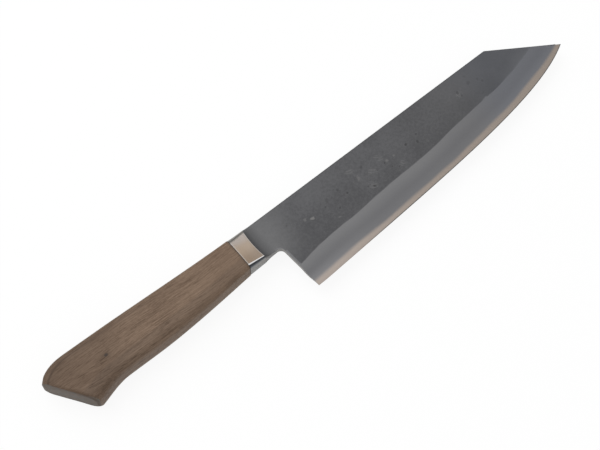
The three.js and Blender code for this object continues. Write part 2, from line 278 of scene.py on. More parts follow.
@named
class HandleSizes(bpy.types.PropertyGroup):
    """Sizes of the wooden handle."""

    length: size("Joint to the corner where top and butt lines cross", 118.9)
    rise: turn("The top rises towards the butt", 1.75)
    front_thickness: size("At the bolster", 12.9)
    thickness: size("From the swell back to the butt", 16)
    proud: size("Step of the wood above the bolster", 0.05)
    belly_proud: size("Step of the wood below the bolster", 0.2)
    top_hollow: size("Slight sag of the top line behind the joint", 0.45)
    crown: size("Bulge of the sides at the bolster", 0.4)
    top_radius: size("Rounding of the upper edges", 3)
    butt_top_radius: size("Rounding of the upper end of the butt", 4.8)
    butt_belly_radius: size("Rounding of its lower end", 7.1)
    belly_front_radius: size("Lower edges, at the bolster", 2)
    belly_radius: size("Lower edges, from the swell back", 4.5)
    belly_slope: turn("Fall of the belly at the joint", 5)
    full_back: size("Joint to where the handle is at its thickest", 70)
    swell_back: size("Joint to the deepest point of the belly", 55.3)
    swell_depth: size("Spine line down to that point", 23)
    waist_ahead: size("Lower corner of the butt forward to the waist", 20)
    waist_depth: size("Spine line down to the waist", 22.7)
    hook_slope: turn("Fall of the belly behind the waist", 15)
    hook_round: size("Rounding where the belly meets the butt", 2.2)
    butt_slant: turn("Butt off square", 33.1)
    butt_length: size("Along the slant, corner to corner", 36.85)
    shoulder_top: size("Rounding of the upper corner, along the top", 20.5)
    shoulder_top_arm: size("How far it keeps to the top line", 8.35)
    shoulder_butt: size("The same rounding, along the butt", 7.15)
    shoulder_butt_arm: size("How far it turns in at the butt", 5.05)
    shoulder_turn: turn("Corner left between shoulder and butt", 78.6)
    butt_radius: size("Rim of the butt", 2.6)
    corner_radius: size("The same rim at the upper corner", 0.25)
    corner_reach: size("Upper corner to where the rim is full", 26)
    heel_radius: size("The same rim at the lower corner", 1.4)
    heel_reach: size("Lower corner to where the rim is full", 6)
    knot_back: size("Pin knot, from the heel back", 104.4)
    knot_drop: size("Pin knot, from the spine line down", 11.2)


@named
class SteelColours(bpy.types.PropertyGroup):
    """Colours of the steels, as they look under plain white light."""

    scale_dark: colour("Forge scale where it is thick", 79, 79, 81)
    scale_light: colour("Forge scale where it is thin", 93, 93, 95)
    scale_rubbed: colour("On the neck", 105, 105, 106)
    # scale_flaked also paints the highlight on the rims of the pits
    scale_flaked: colour("Iron where scale has come off", 134, 133, 132)
    # scale_pit is painted shade in the forge pits; it also darkens the rims of the blade
    scale_pit: colour("Bottom of the forge pits", 60, 60, 61)
    # bevel_heel also serves as the painted light on the iron beside the core
    bevel_heel: colour("Above the corner of the heel", 128, 128, 130)
    bevel_low: colour("Ground iron near the bright strip", 109, 109, 111)
    bevel_high: colour("Ground iron near the ridge", 122, 122, 123)
    bevel_tip: colour("Ground iron towards the tip", 114, 114, 116)
    tip_blue: colour("Tints the steel towards the tip", 246, 249, 255)
    strip: colour("Polished core along the edge", 159, 148, 139)
    strip_heel: colour("The same at the heel", 174, 163, 155)
    hone: colour("Fine second bevel", 92, 88, 86)
    filed: colour("Spine, choil and the rear of the heel", 122, 119, 116)
    # bolster_top_lit and bolster_low_shade paint light near the top of the bolster and shade near
    # its lower edge
    bolster_top_lit: colour("Satin steel near the top", 193, 182, 174)
    bolster: colour("Satin flat of the bolster", 189, 169, 149)
    bolster_low_shade: colour("Satin steel near the lower edge", 163, 143, 124)
    # highlight_and_scratch paints the highlight on the lower edge and along the panel's ends; the
    # file lines on bare steel use it too
    highlight_and_scratch: colour("Rubbed lower edge", 250, 249, 248)
    # bolster_top_shade is painted shade on the rounding along the top
    bolster_top_shade: colour("Rounding along the top", 144, 140, 135)
    # bolster_edge_shade is painted shade on the rounding under the lower edge
    bolster_edge_shade: colour("Rounding under the lower edge", 82, 84, 88)
    # bolster_under_shade is a painted reflection on the underside of the bolster
    bolster_under_shade: colour("Underside of the bolster", 118, 117, 113)
    # hollow is painted shade in the hollow in front of the bolster
    hollow: colour("Dark hollow in front of the bolster", 90, 90, 91)


@named
class WoodColours(bpy.types.PropertyGroup):
    """Colours of the handle and of its glue."""

    dark: colour("Late wood", 104, 84, 68)
    light: colour("Early wood", 135, 113, 94)
    # pore: open pores; it also darkens the rear, the rims and a patch at the front, and lays
    # painted shade along the upper rounding
    pore: colour("Open pores and rims darkened by the hand", 77, 60, 47)
    # rubbed is painted light on the rounding and underside of the belly
    rubbed: colour("Underside of the belly, paler from wear", 152, 132, 114)
    end: colour("Butt of the handle", 106, 100, 94)
    # knot also serves as the painted shade along the belly
    knot: colour("Heart of the pin knot", 58, 51, 47)
    glue: colour("Joint line", 46, 42, 39)


@named
class StageSettings(bpy.types.PropertyGroup):
    """Camera, light and floor."""

    target: partial(
        FloatVectorProperty, description="Point that the camera looks at", size=3, subtype="XYZ",
        default=(-0.0130547, 0.0066287, 0.008), unit="LENGTH", precision=6,
    )
    azimuth: turn("Camera round the knife, from the edge side", -39.6326)
    elevation: turn("Camera above the floor", 66)
    distance: size("Camera to target", 711.7246)
    lens: partial(FloatProperty, description="Focal length", default=84.0, unit="CAMERA")
    sky_top: colour("Light straight from above", 232, 232, 232)
    sky_rim: colour("Light from the horizon", 137, 137, 137)
    box_power: partial(FloatProperty, description="Of the softbox", default=24.0, unit="POWER")
    box_width: size("Side of the softbox", 2000)
    box_place: partial(
        FloatVectorProperty, description="Softbox behind the spine, turned to the knife",
        default=(-0.41, 1.29, 1.73), size=3, subtype="XYZ", unit="LENGTH",
    )
    floor: colour("Pale floor", 255, 255, 255)
    floor_bounce: colour("The floor as it lights the knife", 215, 215, 215)
    floor_glow: partial(
        FloatProperty, description="Share of plain white in the floor that the camera sees",
        default=0.9, min=0.0, max=1.0, subtype="FACTOR",
    )


# Shader nodes


class Wire:
    """An output of a node; sums on it add Math nodes."""

    def __init__(self, nodes, socket):
        self.nodes = nodes
        self.socket = socket

    def work(self, operation, *terms):
        return self.nodes.add("ShaderNodeMath", dict(enumerate(terms)), operation=operation)

    def __add__(self, other):
        return self.work("ADD", self, other)

    def __sub__(self, other):
        return self.work("SUBTRACT", self, other)

    def __rsub__(self, other):
        return self.work("SUBTRACT", other, self)

    def __mul__(self, other):
        return self.work("MULTIPLY", self, other)

    def __truediv__(self, other):
        return self.work("DIVIDE", self, other)

    def __pow__(self, other):
        return self.work("POWER", self, other)

    def sine(self):
        return self.work("SINE", self)

    __radd__ = __add__
    __rmul__ = __mul__


class Nodes:
    """Adds nodes to one tree. Lengths are in millimetres."""

    def __init__(self, owner):
        owner.use_nodes = True
        self.tree = owner.node_tree
        self.tree.nodes.clear()

    def add(self, kind, sockets=None, out=0, **settings):
        node = self.tree.nodes.new(kind)
        for name, value in settings.items():
            setattr(node, name, value)
        for name, value in (sockets or {}).items():
            if isinstance(value, Wire):
                self.tree.links.new(value.socket, node.inputs[name])
            else:
                plain = (*value, 1.0) if isinstance(value, Color) else value
                node.inputs[name].default_value = plain
        return Wire(self, node.outputs[out]) if node.outputs else None

    def place(self):
        return self.lay(self.add("ShaderNodeTexCoord", out="Object"), (MM, MM, MM))

    def part(self, vector, axis):
        return self.add("ShaderNodeSeparateXYZ", {0: vector}, axis)

    def lay(self, vector, lengths, centre=(0, 0, 0), angle=0.0):
        """Moves a pattern to a centre, turns it and stretches it to lengths."""
        return self.add("ShaderNodeMapping", {
            "Vector": vector, "Location": centre, "Rotation": (0, 0, angle), "Scale": lengths,
        }, vector_type="TEXTURE")

    def cloud(self, vector, length, detail=2.0, rough=0.5):
        """Noise with patches about as long as length."""
        return self.add("ShaderNodeTexNoise", {
            "Vector": vector, "Scale": 1 / length, "Detail": detail, "Roughness": rough,
        })

    def streaks(self, vector, lengths, detail=2.0, rough=0.5, **lie):
        """Noise drawn out to lengths."""
        return self.cloud(self.lay(vector, lengths, **lie), 1.0, detail, rough)

    def smooth(self, value, low, high):
        """0 at low and 1 at high, eased between them."""
        return self.add("ShaderNodeMapRange", {
            "Value": value, "From Min": low, "From Max": high,
        }, interpolation_type="SMOOTHSTEP")

    def blend(self, share, first, second, way="MIX"):
        return self.add("ShaderNodeMix", {
            0: share, 6: first, 7: second,
        }, 2, data_type="RGBA", blend_type=way)

    def coats(self, base, *coats):
        """Lays colours over a base one after another, each with its share."""
        for share, shade in coats:
            base = self.blend(share, base, shade)
        return base

    def mark(self, name):
        return self.add("ShaderNodeAttribute", None, "Fac", attribute_name=name)

    def gap(self, name):
        """A mark that holds a distance."""
        return self.mark(name) / MM

    def length(self, vector):
        return self.add("ShaderNodeVectorMath", {0: vector}, "Value", operation="LENGTH")

    def relief(self, height, depth, strength):
        """A bump; depth is how far height 1 stands above height 0."""
        return self.add("ShaderNodeBump", {
            "Height": height, "Distance": depth * MM, "Strength": strength,
        })

    def surface(self, base, roughness, normal, metallic=0.0, specular=0.5):
        shader = self.add("ShaderNodeBsdfPrincipled", {
            "Base Color": base, "Roughness": roughness, "Normal": normal,
            "Metallic": metallic, "Specular IOR Level": specular,
        })
        self.add("ShaderNodeOutputMaterial", {"Surface": shader})


class Zone:
    """Where a finish fades in, from the first place to the second, in millimetres."""

    # Along the blade, forwards from the heel
    choil = (8, 4)
    neck = (17, -6)
    heel = (45, 0)
    bright_heel = (95, -5)
    honed = (15, 60)
    thin = (70, 150)
    dull = (80, 150)
    fine = (100, 150)
    blue = (118, 150)
    notch, notch_end = (132.6, 136.4), (137.6, 136.9)
    tip = (140, 168)

    # Upwards, from the line of the spine
    face = (-26, -4)
    neck_foot = (-34, -17)
    choil_top = (-17, -20)

    # Down the bolster, from the line of the spine, where the painted shade on the satin deepens
    satin = (3, 9)
    satin_low = (8, 17)

    # Along the handle, forwards from the knot
    rear = (70, 15)
    held = (25, -5)
    butt = (-8, -24)


def finish(paint, *details):
    """A material painted by one of the functions below, and named after it."""
    name = paint.__name__
    material = bpy.data.materials.get(name) or bpy.data.materials.new(name)
    paint(Nodes(material), *details)
    return material


def blued(nodes, base, shades, forward):
    """Tints a steel towards the tip."""
    return nodes.blend(nodes.smooth(forward, *Zone.blue), base, shades.tip_blue, "MULTIPLY")


def high_bevel(nodes, shades, forward):
    """Ground iron near the ridge, duller towards the tip."""
    return nodes.blend(nodes.smooth(forward, *Zone.dull), shades.bevel_high, shades.bevel_tip)


def ripple_lines(nodes, place, origin, patches):
    """Fine curved lines beside the hammer marks, broken up here and there."""
    ripples = 0.0
    for x, y, length, width, angle in RIPPLES:
        centre = origin / MM + Vector((x, y, RIPPLE_LEVEL))
        local = nodes.lay(place, (length, width, RIPPLE_REACH), centre, math.radians(angle))
        bowed = nodes.part(local, "Y") + 0.35 * nodes.part(local, "X") ** 2.0
        lines = nodes.smooth((bowed * (7.5 * width) + 8 * patches).sine(), 0.1, 1.0)
        ripples = lines * nodes.smooth(nodes.length(local), 1.1, 0.5) + ripples
    return ripples * nodes.smooth(nodes.cloud(place, 2.6, 1), 0.36, 0.56)


def forge_scale(nodes, shades, origin):
    """Dark scale of the forging, rubbed on the neck, at the ridge and on the rims."""
    place = nodes.place()
    forward = nodes.part(place, "X") - origin.x / MM
    height = nodes.part(place, "Y") - origin.y / MM
    ridge, rim = nodes.gap("from_ridge"), nodes.gap("from_rim")
    patches = nodes.cloud(place, 16, 3)
    grit = nodes.cloud(place, 1.5, 3, 0.55)
    specks = nodes.cloud(place, 0.7)
    coarse = 1 - 0.75 * nodes.smooth(forward, *Zone.fine)
    rough = (0.32 * (grit - 0.5) + 0.18 * (specks - 0.5)) * coarse
    across = nodes.smooth(height, *Zone.face) - 0.5
    tone = nodes.smooth(0.5 + 0.3 * (patches - 0.5) + 0.1 * across + rough, 0.34, 0.66)
    at_tip = nodes.smooth(forward, *Zone.tip)
    thin = nodes.smooth(forward, *Zone.thin) * 0.2 + at_tip * nodes.smooth(ridge, 7, 0) * 0.4
    neck = nodes.smooth(forward, *Zone.neck) * nodes.smooth(height, *Zone.neck_foot)
    neck = neck * (0.85 + 0.3 * grit)
    ripples = ripple_lines(nodes, place, origin, patches)
    notch = nodes.smooth(forward, *Zone.notch) * nodes.smooth(forward, *Zone.notch_end)
    crooked = ridge + (0.6 * grit + 0.8 * nodes.cloud(place, 5, 1) - 0.7 - 0.6 * notch)
    blur = 0.6 + 0.6 * at_tip
    bare = nodes.smooth(rim, 0.5, 0.1) * nodes.smooth(grit, 0.56, 0.68) * 0.3
    # the mark read here holds flaked scale and the painted highlight on the pit rims
    bare = nodes.smooth(bare + nodes.mark("flake_and_highlight") * (0.8 + 0.4 * grit), 0.05, 1.15)
    choil = nodes.smooth(forward, *Zone.choil) * nodes.smooth(height, *Zone.choil_top)
    base = nodes.coats(
        shades.scale_dark,
        (tone, shades.scale_light),
        (thin + neck, shades.scale_rubbed),
        (ripples * 0.5, shades.scale_flaked),
        (nodes.smooth(crooked, blur, -1 * blur), high_bevel(nodes, shades, forward)),
        (nodes.smooth(rim, 0.8, 0.2) * 0.35, shades.scale_pit),
        (bare, shades.scale_flaked),
        # painted shade in the forge pits
        (nodes.mark("pit_shade") * (0.3 + 0.7 * grit), shades.scale_pit),
        (choil * nodes.smooth(rim, 1.3, 0.7) * 0.7, shades.bevel_heel),
    )
    nodes.surface(
        blued(nodes, base, shades, forward), 0.6 - 0.12 * tone,
        nodes.relief(rough * 3 + ripples, 0.03, 0.35), 0.4 + 0.3 * bare, 0.25,
    )


def ground_steel(nodes, shades, origin):
    """Ground bevel: hazy iron above with painted light beside the core, the bright core below, and
    a fine hone at the edge.
    """
    place = nodes.place()
    forward = nodes.part(place, "X") - origin.x / MM
    edge, bond, ridge = (nodes.gap(name) for name in DISTANCES)
    lines = nodes.streaks(place, (26, 0.25, 5), 3, 0.6, angle=0.05)
    haze = nodes.streaks(place, (45, 9, 45))
    wander = nodes.streaks(place, (7, 1.5, 7), 3, 0.6)
    height = nodes.smooth(edge / (edge - ridge), 0.5, 1.0)
    tone = nodes.smooth(height * 0.6 + haze * 0.45 + lines * 0.15 - 0.1, 0.0, 1.0)
    near_heel = nodes.smooth(forward, *Zone.heel)
    near_tip = nodes.smooth(forward, *Zone.fine)
    # painted light on the iron beside the core, most at the heel and a little towards the tip
    low = nodes.smooth(bond, 6, 0) * (0.3 + 0.15 * near_tip + 0.7 * near_heel)
    iron = nodes.coats(
        shades.bevel_low,
        (tone, high_bevel(nodes, shades, forward)),
        (near_tip * 0.15 + low, shades.bevel_heel),
    )
    bright = nodes.smooth(forward, *Zone.bright_heel)
    strip = nodes.blend(bright, shades.strip, shades.strip_heel)
    blur = 1.1 + 0.3 * near_heel
    core = nodes.smooth(bond + 0.5 * (wander - 0.5), blur, -1 * blur)
    honed = nodes.smooth(edge, 0.5, 0.25) * nodes.smooth(forward, *Zone.honed)
    iron = blued(nodes, iron, shades, forward)
    nodes.surface(
        nodes.coats(iron, (core, strip), (honed, shades.hone)),
        0.38 - 0.08 * core + 0.1 * lines, nodes.relief(lines, 0.004, 0.4), 0.85 + 0.15 * core,
    )


def filed_steel(nodes, shades):
    """Spine, choil and rear of the heel, filed bare."""
    place = nodes.place()
    lines = nodes.streaks(place, (0.22, 6, 3), 3, 0.6)
    stain = nodes.smooth(nodes.cloud(place, 9, 3, 0.55), 0.5, 0.72)
    base = nodes.coats(
        shades.filed, (lines * 0.15, shades.highlight_and_scratch), (stain * 0.6, shades.scale_light),
    )
    nodes.surface(base, 0.34 + 0.16 * lines, nodes.relief(lines, 0.006, 0.5), 0.6)


def satin_steel(nodes, shades, origin):
    """Satin flats of the bolster, with painted light and shade: lighter near the top and darker
    downwards, painted shade on the upper rounding, a painted highlight and then painted shade at
    the lower edge, and a painted reflection beneath.
    """
    place = nodes.place()
    down = origin.y / MM - nodes.part(place, "Y")
    turned, run = nodes.mark("turned"), nodes.mark("hollow")
    lines = nodes.streaks(place, (0.2, 9, 9), 3, 0.6, angle=0.06)
    cloudy = down + 3 * (nodes.cloud(place, 5) - 0.5)
    ends = nodes.smooth(run, -0.07, -0.02) + nodes.smooth(run, -0.93, -0.98)
    base = nodes.coats(
        shades.bolster_top_lit,
        # painted light near the top, painted shade towards the lower edge
        (nodes.smooth(cloudy, *Zone.satin), shades.bolster),
        (nodes.smooth(cloudy, *Zone.satin_low), shades.bolster_low_shade),
        (lines * 0.12, shades.filed),
        # painted highlight along both ends of the panel
        (ends * 0.3 + nodes.smooth(run, -0.8, -0.2) * 0.05, shades.highlight_and_scratch),
        # painted shade on the upper rounding
        (nodes.smooth(turned, 0.05, -0.24), shades.bolster_top_shade),
        # painted highlight on the lower edge
        (nodes.smooth(turned, 0.0, 0.06), shades.highlight_and_scratch),
        # painted shade under the lower edge
        (nodes.smooth(turned, 0.2, 0.3), shades.bolster_edge_shade),
        # painted reflection on the underside
        (nodes.smooth(turned, 1.15, 1.5), shades.bolster_under_shade),
    )
    nodes.surface(base, 0.24 + 0.12 * lines, nodes.relief(lines, 0.004, 0.4), 1.0)


def shaded_hollow(nodes, shades):
    """Hollow in front of the bolster: painted shade, lighter towards the neck, and a painted
    reflection beneath.
    """
    grit = nodes.cloud(nodes.place(), 1.3, 4, 0.6)
    run = nodes.smooth(nodes.mark("hollow") + 0.15 * (grit - 0.5), -0.05, 0.44)
    base = nodes.coats(
        shades.hollow,
        (run, shades.scale_rubbed),
        # painted reflection on the underside
        (nodes.smooth(nodes.mark("turned"), 0.85, 1.1), shades.bolster_under_shade),
    )
    nodes.surface(base, 0.5 + 0.12 * grit, nodes.relief(grit, 0.02, 0.4), 0.4, 0.25)


def walnut(nodes, shades, knot):
    """Oiled walnut: long fibres, short open pores and a pin knot that parts the grain, with painted
    shade along the top and the belly and painted light on the belly.
    """
    place = nodes.place()
    from_knot = nodes.lay(place, (1, 1, 1), knot / MM, -0.03)
    ahead, above, outward = (nodes.part(from_knot, axis) for axis in "XYZ")

    def oval(stretch):
        """Distance from the knot on ovals that lie along the grain."""
        return ((ahead / stretch) ** 2.0 + above ** 2.0) ** 0.5

    def grain(level):
        return nodes.add("ShaderNodeCombineXYZ", {"X": ahead, "Y": level, "Z": outward})

    parted = above * (1 - 0.6 * nodes.smooth(oval(2.6), 5.5, 0))
    swung = grain(parted + 3.5 * (nodes.cloud(grain(parted), 36, 1) - 0.5))
    blotches = nodes.streaks(swung, (26, 6, 8))
    fibres = nodes.streaks(swung, (20, 0.5, 0.8), 3, 0.65)
    dashes = nodes.streaks(swung, (6, 0.3, 0.45), 1)
    fuzz = nodes.streaks(swung, (1.6, 0.5, 0.5))
    top, belly = nodes.gap("from_top"), nodes.gap("from_belly")
    rear = nodes.smooth(ahead, *Zone.rear)
    at_butt = nodes.smooth(ahead, *Zone.butt)
    figure = blotches * 0.22 + fibres * 0.55 + fuzz * 0.23 - 0.5
    tone = nodes.smooth(figure * (0.75 + 0.45 * rear), -0.16, 0.16)
    pores = nodes.smooth(dashes, 0.59, 0.68)
    near_knot = oval(1.35)
    # darker towards the rear of the handle
    held = nodes.smooth(ahead, *Zone.held) * 0.3 + at_butt * 0.1
    # painted shade along the upper rounding of the handle
    top_shade = nodes.smooth(top, 2.8, 3.6) * nodes.smooth(top, 4.7, 3.8)
    top_shade = top_shade * (0.05 + 0.2 * rear + 0.1 * at_butt)
    upper = nodes.smooth(top, 10, 4) * rear * 0.2
    smear = nodes.lay(place, SMEAR_LENGTHS, knot / MM + SMEAR_PLACE, 0.08)
    smear = nodes.smooth(nodes.length(smear), 1.1, 0.2) * 0.4
    # painted shade along the rounding of the belly
    band = nodes.smooth(belly - 2 * rear, 7.5, 5.8) * nodes.smooth(belly, 0.5, 2.4) * 0.2
    under = nodes.smooth(belly, 0.5, 0) * nodes.smooth(outward, -0.5, -5)
    base = nodes.coats(
        shades.dark,
        (tone, shades.light),
        (pores * (0.3 + 0.4 * rear), shades.pore),
        (nodes.smooth(near_knot, 3, 0.8) * 0.35, shades.pore),
        (nodes.smooth(near_knot, 1.15, 0.35), shades.knot),
        (held + top_shade + upper + smear, shades.pore),
        (band, shades.knot),
        # darker along the rim of the butt and at the front end
        (nodes.mark("darkened") * 0.55, shades.pore),
        # painted light on the belly
        (nodes.smooth(belly, 1.8, 0.4) * 0.12 + under * 0.5, shades.rubbed),
    )
    relief = nodes.relief(fibres * 0.4 - pores, 0.05, 0.6)
    nodes.surface(base, 0.6 - 0.1 * tone + 0.15 * pores, relief, specular=0.25)


def walnut_end(nodes, shades, knot):
    """Butt of the handle: greyer, with pores seen end on."""
    place = nodes.place()
    bands = nodes.streaks(place, (5, 1.6, 2.4), 3, 0.55, centre=knot / MM)
    dots = nodes.cloud(place, 0.5)
    tone = nodes.smooth(bands, 0.3, 0.7)
    base = nodes.coats(
        shades.end,
        (0.35 * tone, shades.light),
        (nodes.smooth(dots, 0.58, 0.7) * 0.5, shades.pore),
        # darker along the rim of the butt
        (nodes.mark("darkened") * 0.6, shades.pore),
    )
    nodes.surface(base, 0.62 + 0.1 * tone, nodes.relief(dots, 0.03, 0.5), specular=0.25)


def joint_glue(nodes, shades):
    """Cured dark glue in the joint."""
    patches = nodes.cloud(nodes.place(), 2.5, 3, 0.55)
    base = nodes.blend(0.5 * patches, shades.glue, shades.pore)
    nodes.surface(base, 0.4 + 0.2 * patches, nodes.relief(patches, 0.03, 0.4))


# Modelling


def lay_net(mesh, net, marks, height):
    """Lays a grid on one side of the blade, with marks; height gives how far out a point lies."""
    layers = [mesh.verts.layers.float.new(name) for name in marks]
    columns, rows = net.columns, net.rows[-1]
    bmesh.ops.create_grid(mesh, x_segments=columns, y_segments=rows, size=0.5)
    outside = []
    for vertex in mesh.verts:
        column = round((vertex.co.x + 0.5) * columns)
        row = round((vertex.co.y + 0.5) * rows)
        found = net.at(column, row)
        if found is None:
            outside.append(vertex)
            continue
        place, core, half, distances = found
        vertex.co = (*place, height(place, core, half, distances, row))
        for layer, value in zip(layers, (*distances, core, row)):
            vertex[layer] = value
    bmesh.ops.delete(mesh, geom=outside, context="VERTS")


def thicken(mesh, wall):
    """Draws a sheet out into a solid with walls of one material; returns the far vertices."""
    near = list(mesh.faces)
    drawn = bmesh.ops.extrude_face_region(mesh, geom=near)["geom"]
    known = set(near).union(drawn)
    for face in mesh.faces:
        if face not in known:
            face.material_index = wall
    return [item for item in drawn if isinstance(item, bmesh.types.BMVert)]


def draw_tube(mesh, sections, marks=()):
    """Draws a ring through a row of sections and closes its ends."""
    layers = [mesh.verts.layers.float.new(name) for name in marks]
    ring = bmesh.ops.create_circle(mesh, segments=len(sections[0]), radius=1.0)["verts"]
    for count, section in enumerate(sections):
        if count:
            edges = [mesh.edges.get(pair) for pair in zip(ring, ring[1:] + ring[:1])]
            drawn = set(bmesh.ops.extrude_edge_only(mesh, edges=edges)["geom"])
            beside = [[edge.other_vert(vertex) for edge in vertex.link_edges] for vertex in ring]
            ring = [next(vertex for vertex in row if vertex in drawn) for row in beside]
        for vertex, (place, *values) in zip(ring, section):
            vertex.co = place
            for layer, value in zip(layers, values):
                vertex[layer] = value
    bmesh.ops.holes_fill(mesh, edges=[edge for edge in mesh.edges if edge.is_boundary], sides=0)


def add_object(name, data):
    made = bpy.data.objects.new(name, data)
    bpy.context.scene.collection.objects.link(made)
    return made


def add_shape(name, mesh, materials):
    """Turns a shaped mesh into an object."""
    data = bpy.data.meshes.new(name)
    mesh.to_mesh(data)
    mesh.free()
    for material in materials:
        data.materials.append(material)
    return add_object(name, data)


def set_on_knife(mesh, name, origin, materials, node, crease=30):
    """Closes a mesh, sets it on the frame and makes it a piece that stands for a node."""
    bmesh.ops.remove_doubles(mesh, verts=mesh.verts, dist=WELD)
    bmesh.ops.recalc_face_normals(mesh, faces=mesh.faces)
    bmesh.ops.translate(mesh, vec=origin, verts=mesh.verts)
    for face in mesh.faces:
        face.smooth = True
    for edge in mesh.edges:
        if edge.calc_face_angle(0.0) > math.radians(crease):
            edge.smooth = False
    piece = add_shape(name, mesh, materials)
    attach(piece, "root")
    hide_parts(node)


class BladeLines:
    """Lines and thickness of the blade, from its sizes."""

    bevel_foot = 0.06 * MM  # half thickness that the bevel would leave without the hone
    bow_middle, bow_half, bow_reach = 8 * MM, 5.5 * MM, 6 * MM  # bulge behind the heel
    worn_reach = 9 * MM  # wear at the corner of the heel
    lean = 1 * MM  # columns of the neck lean back to meet those of the blade
    tang_step = 0.2 * MM  # joint back to the first column of the tang
    choil_columns, tang_columns, round_columns = 12, 12, 8  # the last go round the tang's end

    def __init__(self, sizes, bolster):
        self.sizes = sizes
        heel = Vector((0.0, -sizes.heel_height))
        tip = Vector((sizes.length, -sizes.tip_drop))
        self.knots = [
            heel, heel + heading(sizes.heel_run, sizes.heel_slope),
            tip - heading(sizes.tip_run, sizes.tip_slope), tip,
        ]
        self.corner = Vector((sizes.length - sizes.tip_cut, sizes.spine_rise))
        self.cut_out = Vector((sizes.tip_drop + sizes.spine_rise, sizes.tip_cut)).normalized()
        self.joint = -bolster.setback - bolster.length
        self.tang_middle = -sizes.neck_height / 2
        self.tang_end = self.joint - sizes.tang_length
        self.origin = Vector((
            core_high.x - sizes.length,
            core_low.y + sizes.heel_height,
            (core_low.z + core_high.z) / 2,
        ))

    def edge(self, share):
        """A point of the cutting edge, and the way into the blade square to it."""
        before, after = narrowed(self.knots, share, 2)
        way = (after - before).normalized()
        return mix(before, after, share), Vector((-way.y, way.x))

    def heel_wear(self, ahead, distance):
        """How far sharpening has moved a point: the heel bows out and its corner is worn."""
        bow = max(0.0, 1 - ((distance - self.bow_middle) / self.bow_half) ** 2) ** 1.5
        backward = self.sizes.heel_bow * bow * max(0.0, 1 - ahead / self.bow_reach) ** 2
        upward = self.sizes.heel_worn
        for gap in (ahead, distance):
            upward *= max(0.0, 1 - gap / self.worn_reach) ** 2
        return Vector((-backward, upward))

    def reach(self, share):
        """Length of a column, from the edge to the spine or to the angled cut."""
        point, inward = self.edge(share)
        spine = self.sizes.spine_rise * ease(point.x / self.corner.x)
        to_spine = (spine - point.y) / inward.y
        to_cut = (self.corner - point).dot(self.cut_out) / inward.dot(self.cut_out)
        return max(0.0, min(to_spine, to_cut))

    def width(self, table, share):
        return along(table, self.edge(share)[0].x / self.sizes.length) * MM

    def face_half(self, x, y):
        """Half the thickness of the forged blade."""
        sizes = self.sizes
        forward = (sizes.spine_thickness - sizes.spine_end_thickness) / 2 / self.corner.x
        upward = (sizes.spine_thickness - sizes.ridge_thickness) / 2 / sizes.ridge_drop
        half = sizes.spine_thickness / 2 - forward * x + upward * y
        behind = (x - self.joint) / (self.tang_end - self.joint)
        return mix(half, sizes.tang_end_thickness / 2, behind) if behind > 0 else half

    def bevel_half(self, share, distance):
        """Half the thickness of the bevel, at a distance from the edge."""
        point, inward = self.edge(share)
        width = self.width(BEVEL_WIDTHS, share)
        slope = (self.face_half(*(point + inward * width)) - self.bevel_foot) / width
        hone = self.sizes.hone_width
        if distance < hone:
            edge = self.sizes.edge_thickness / 2
            return mix(edge, self.bevel_foot + slope * hone, distance / hone)
        return self.bevel_foot + slope * distance

    def core_half(self, share):
        return self.bevel_half(share, self.width(STRIP_WIDTHS, share))

    def end_of(self, table):
        """Where a band along the edge has become as wide as the blade."""
        return crossing(lambda share: self.reach(share) - self.width(table, share))

    def corner_share(self):
        """Where the column starts that ends at the corner of spine and cut."""
        def gap(share):
            point, inward = self.edge(share)
            return self.corner.x - (point + inward * self.reach(share)).x
        return crossing(gap)

    def stations(self, spacing, end):
        """Places along the edge for columns, with one at each corner of the outline."""
        corners = self.corner_share(), self.end_of(BEVEL_WIDTHS), self.end_of(STRIP_WIDTHS)
        stops = [0.0, *(share for share in corners if share < end), end]
        found = [0.0]
        for start, stop in zip(stops, stops[1:]):
            run = (self.edge(stop)[0] - self.edge(start)[0]).length
            count = max(2, round(run / spacing))
            found += [mix(start, stop, share) for share in shares(count, 1)]
        return found

    def choil(self):
        """Where the hollow corner leaves the rear of the heel."""
        point, inward = self.edge(0.0)
        level = -self.sizes.neck_height - self.sizes.choil_radius
        distance = (level - point.y) / inward.y
        return distance, point + inward * distance

    def neck_columns(self, spacing):
        """Lower and upper ends of the columns behind the heel, from the tang's end forwards."""
        sizes = self.sizes
        point, inward = self.edge(0.0)
        top = point + inward * self.reach(0.0)
        _, hollow = self.choil()
        middle = Vector((hollow.x - sizes.choil_radius, hollow.y))
        pairs = []
        for share in shares(self.choil_columns, 1):
            low = middle + heading(sizes.choil_radius, share * math.pi / 2)
            pairs.append((low, Vector((mix(top.x, middle.x - self.lean, share), 0.0))))
        for share in shares(round((middle.x - self.joint) / spacing), 1):
            x = mix(middle.x, self.joint, share)
            high = Vector((x - self.lean * (1 - share), 0.0))
            pairs.append((Vector((x, -sizes.neck_height)), high))
        radius = sizes.tang_end_height / 2
        straight = self.tang_end + radius
        tang = []
        for share in shares(self.tang_columns):
            half = mix(sizes.tang_height, sizes.tang_end_height, share) / 2
            tang.append((mix(self.joint - self.tang_step, straight, share), half))
        for share in shares(self.round_columns, 1):
            half, back = heading(radius, share * math.pi / 2)
            tang.append((straight - back, half))
        for x, half in tang:
            pairs.append(tuple(Vector((x, self.tang_middle + side * half)) for side in (-1, 1)))
        return pairs[::-1]


